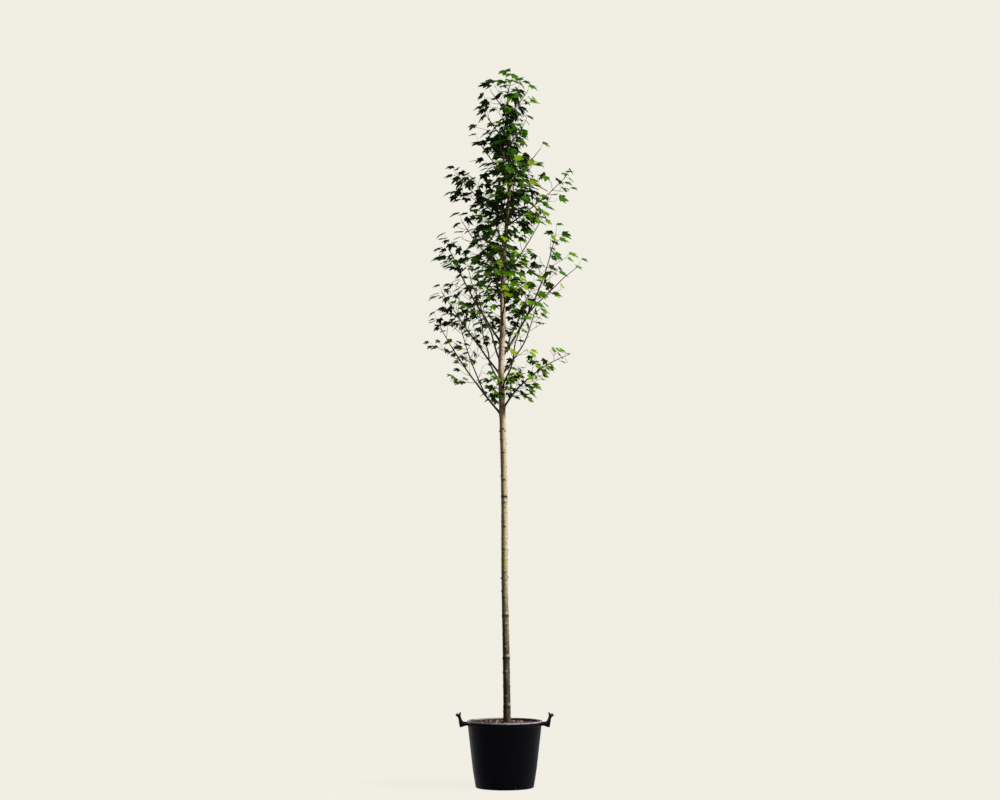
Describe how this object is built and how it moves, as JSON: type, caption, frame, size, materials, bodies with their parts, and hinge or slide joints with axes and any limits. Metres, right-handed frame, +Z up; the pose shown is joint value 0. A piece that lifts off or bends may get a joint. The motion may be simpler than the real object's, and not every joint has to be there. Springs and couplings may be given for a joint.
{
  "type": "potted maple tree",
  "caption": "Young red maple standard with a slender clear stem and a narrow feathered crown of lobed leaves, in a round nursery tub with lifting handles.",
  "frame": {"origin": "middle of the tub's flat underside, which stands on the floor", "axes": "+Z up along the tub's axis and the stem, +X to the right through one handle, -Y to the front"},
  "size_m": [0.9773, 0.7953, 4.1897],
  "materials": {
    "tub_plastic": "satin black",
    "handle_plastic": "satin black",
    "potting_mix": "loose, matte",
    "trunk_bark": "smooth young bark with bud scars",
    "bough_bark": "smooth young bark",
    "leaves": "soft, slightly glossy leaf"
  },
  "bodies": {
    "root": {"bough_back_high": "bough_bark", "bough_back_low": "bough_bark", "bough_back_mid": "bough_bark", "bough_front_high": "bough_bark", "bough_front_low": "bough_bark", "bough_front_mid": "bough_bark", "bough_left_high": "bough_bark", "bough_left_low": "bough_bark", "bough_left_low_fork": "bough_bark", "bough_left_mid": "bough_bark", "bough_right_high": "bough_bark", "bough_right_high_fork": "bough_bark", "bough_right_low": "bough_bark", "bough_right_mid": "bough_bark", "handle_left": "handle_plastic", "handle_right": "handle_plastic", "leaves_back_high": "leaves", "leaves_back_low": "leaves", "leaves_back_mid": "leaves", "leaves_front_high": "leaves", "leaves_front_low": "leaves", "leaves_front_mid": "leaves", "leaves_leader": "leaves", "leaves_left_high": "leaves", "leaves_left_low": "leaves", "leaves_left_low_fork": "leaves", "leaves_left_mid": "leaves", "leaves_right_high": "leaves", "leaves_right_high_fork": "leaves", "leaves_right_low": "leaves", "leaves_right_mid": "leaves", "leaves_tier_10_left": "leaves", "leaves_tier_10_right": "leaves", "leaves_tier_1_back": "leaves", "leaves_tier_1_front": "leaves", "leaves_tier_2_left": "leaves", "leaves_tier_2_right": "leaves", "leaves_tier_3_back": "leaves", "leaves_tier_3_front": "leaves", "leaves_tier_4_left": "leaves", "leaves_tier_4_right": "leaves", "leaves_tier_5_back": "leaves", "leaves_tier_5_front": "leaves", "leaves_tier_6_left": "leaves", "leaves_tier_6_right": "leaves", "leaves_tier_7_back": "leaves", "leaves_tier_7_front": "leaves", "leaves_tier_8_left": "leaves", "leaves_tier_8_right": "leaves", "leaves_tier_9_back": "leaves", "leaves_tier_9_front": "leaves", "pot": "tub_plastic", "soil": "potting_mix", "trunk": "trunk_bark"}
  },
  "joints": []
}
